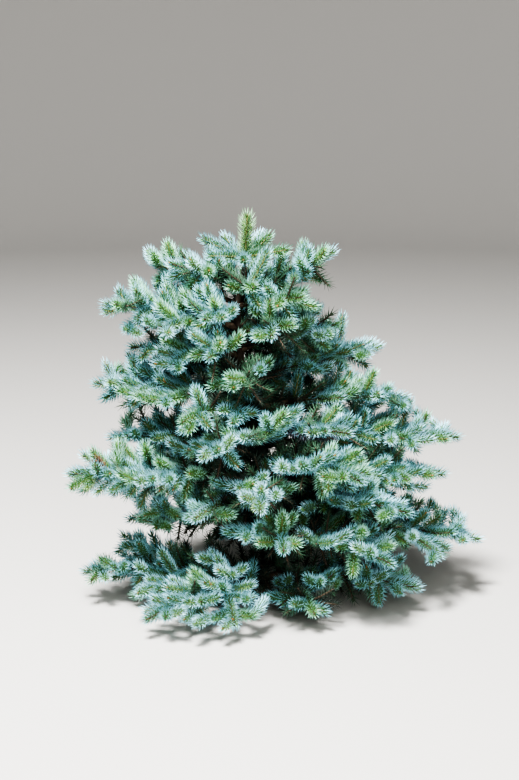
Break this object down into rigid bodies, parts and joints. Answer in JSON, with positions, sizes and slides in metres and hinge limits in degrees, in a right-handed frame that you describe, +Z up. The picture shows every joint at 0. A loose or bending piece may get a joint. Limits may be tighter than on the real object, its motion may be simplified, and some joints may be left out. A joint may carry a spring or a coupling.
{
  "type": "dwarf blue spruce",
  "caption": "Small leaning conifer rooted at a flat foot: trunk, tiers of boughs and dense sprays of stiff blue-green needles up to a leader.",
  "frame": {"origin": "centre of the flat cut under the trunk, at ground level", "axes": "+Z up, -Y towards the side seen in the picture, +X to that side's right"},
  "size_m": [0.4865, 0.3464, 0.4553],
  "materials": {
    "bark": "rough dark grey-brown bark, matte",
    "bough_bark": "tan to ochre young bark, matte",
    "needles": "waxy silver blue-green needles, satin"
  },
  "bodies": {
    "root": {"trunk": "bark", "bough_ground_left": "bough_bark", "bough_ground_front_left": "bough_bark", "bough_ground_back": "bough_bark", "bough_skirt_right": "bough_bark", "bough_skirt_back_left": "bough_bark", "bough_skirt_back_right": "bough_bark", "bough_low_left": "bough_bark", "bough_low_right": "bough_bark", "bough_low_back_right": "bough_bark", "bough_low_back_left": "bough_bark", "bough_middle_right": "bough_bark", "bough_middle_back": "bough_bark", "bough_upper_right": "bough_bark", "foliage_leader": "needles", "foliage_ground_left": "needles", "foliage_ground_front_left": "needles", "foliage_ground_front": "needles", "foliage_ground_right": "needles", "foliage_ground_back": "needles", "foliage_skirt_right": "needles", "foliage_skirt_front_right": "needles", "foliage_skirt_front": "needles", "foliage_skirt_left": "needles", "foliage_skirt_back_left": "needles", "foliage_skirt_back_right": "needles", "foliage_low_left": "needles", "foliage_low_front_left": "needles", "foliage_low_front": "needles", "foliage_low_front_right": "needles", "foliage_low_side_right": "needles", "foliage_low_right": "needles", "foliage_low_back_right": "needles", "foliage_low_back_left": "needles", "foliage_middle_left": "needles", "foliage_middle_front_left": "needles", "foliage_middle_front_right": "needles", "foliage_middle_right": "needles", "foliage_middle_back": "needles", "foliage_upper_left": "needles", "foliage_upper_front_left": "needles", "foliage_upper_front": "needles", "foliage_upper_right": "needles", "foliage_upper_back_right": "needles", "foliage_upper_back": "needles", "foliage_upper_back_left": "needles", "foliage_shoulder_left": "needles", "foliage_shoulder_front": "needles", "foliage_shoulder_front_right": "needles", "foliage_shoulder_right": "needles", "foliage_shoulder_back": "needles", "foliage_shoulder_back_left": "needles", "foliage_crown_left": "needles", "foliage_crown_back_left": "needles", "foliage_crown_upper_left": "needles", "foliage_crown_front_left": "needles", "foliage_crown_front": "needles", "foliage_crown_front_right": "needles", "foliage_crown_right": "needles", "foliage_crown_back": "needles"}
  },
  "joints": []
}
